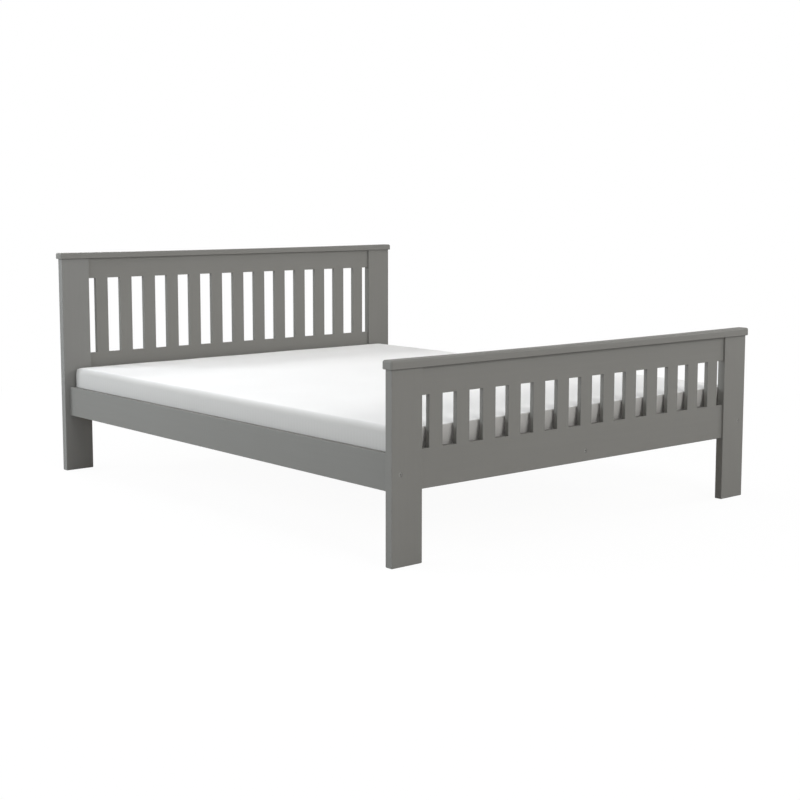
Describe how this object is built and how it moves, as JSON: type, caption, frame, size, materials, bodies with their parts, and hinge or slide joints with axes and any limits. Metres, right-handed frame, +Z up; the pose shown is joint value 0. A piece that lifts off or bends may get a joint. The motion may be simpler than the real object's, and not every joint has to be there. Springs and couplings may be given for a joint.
{
  "type": "double bed",
  "caption": "Painted wooden double bed with a slatted headboard, a lower slatted footboard, side rails, a slatted base and a plain foam mattress.",
  "frame": {"origin": "on the floor, under the middle of the bed", "axes": "+X across the bed, to the right when seen from the footboard; +Y along the bed, towards the headboard; +Z up"},
  "size_m": [1.716, 2.102, 0.882],
  "materials": {
    "painted_wood": "smooth satin paint, warm mid grey",
    "bare_pine": "planed, unfinished",
    "mattress_cover": "smooth white knitted cover",
    "webbing": "woven tape, natural",
    "steel": "zinc plated, slightly dull"
  },
  "bodies": {
    "frame": {"headboard_post_left": "painted_wood", "headboard_post_right": "painted_wood", "footboard_post_left": "painted_wood", "footboard_post_right": "painted_wood", "headboard_top_rail": "painted_wood", "headboard_lower_rail": "painted_wood", "headboard_cap_rail": "painted_wood", "footboard_top_rail": "painted_wood", "footboard_lower_rail": "painted_wood", "footboard_cap_rail": "painted_wood", "headboard_slat_01": "painted_wood", "headboard_slat_02": "painted_wood", "headboard_slat_03": "painted_wood", "headboard_slat_04": "painted_wood", "headboard_slat_05": "painted_wood", "headboard_slat_06": "painted_wood", "headboard_slat_07": "painted_wood", "headboard_slat_08": "painted_wood", "headboard_slat_09": "painted_wood", "headboard_slat_10": "painted_wood", "headboard_slat_11": "painted_wood", "headboard_slat_12": "painted_wood", "headboard_slat_13": "painted_wood", "footboard_slat_01": "painted_wood", "footboard_slat_02": "painted_wood", "footboard_slat_03": "painted_wood", "footboard_slat_04": "painted_wood", "footboard_slat_05": "painted_wood", "footboard_slat_06": "painted_wood", "footboard_slat_07": "painted_wood", "footboard_slat_08": "painted_wood", "footboard_slat_09": "painted_wood", "footboard_slat_10": "painted_wood", "footboard_slat_11": "painted_wood", "footboard_slat_12": "painted_wood", "footboard_slat_13": "painted_wood", "side_rail_left": "painted_wood", "side_rail_right": "painted_wood", "ledger_left": "bare_pine", "ledger_right": "bare_pine", "centre_beam": "bare_pine", "centre_leg": "bare_pine", "base_slat_01": "bare_pine", "base_slat_02": "bare_pine", "base_slat_03": "bare_pine", "base_slat_04": "bare_pine", "base_slat_05": "bare_pine", "base_slat_06": "bare_pine", "base_slat_07": "bare_pine", "base_slat_08": "bare_pine", "base_slat_09": "bare_pine", "base_slat_10": "bare_pine", "base_slat_11": "bare_pine", "base_slat_12": "bare_pine", "base_slat_13": "bare_pine", "bed_bolts": "steel", "barrel_nuts": "steel", "slat_tapes": "webbing"},
    "mattress": {"mattress": "mattress_cover"}
  },
  "joints": [
    {"name": "mattress_lift", "type": "slide", "parent": "frame", "child": "mattress", "axis": [0, 0, 1], "range_m": [0, 0.45]}
  ]
}
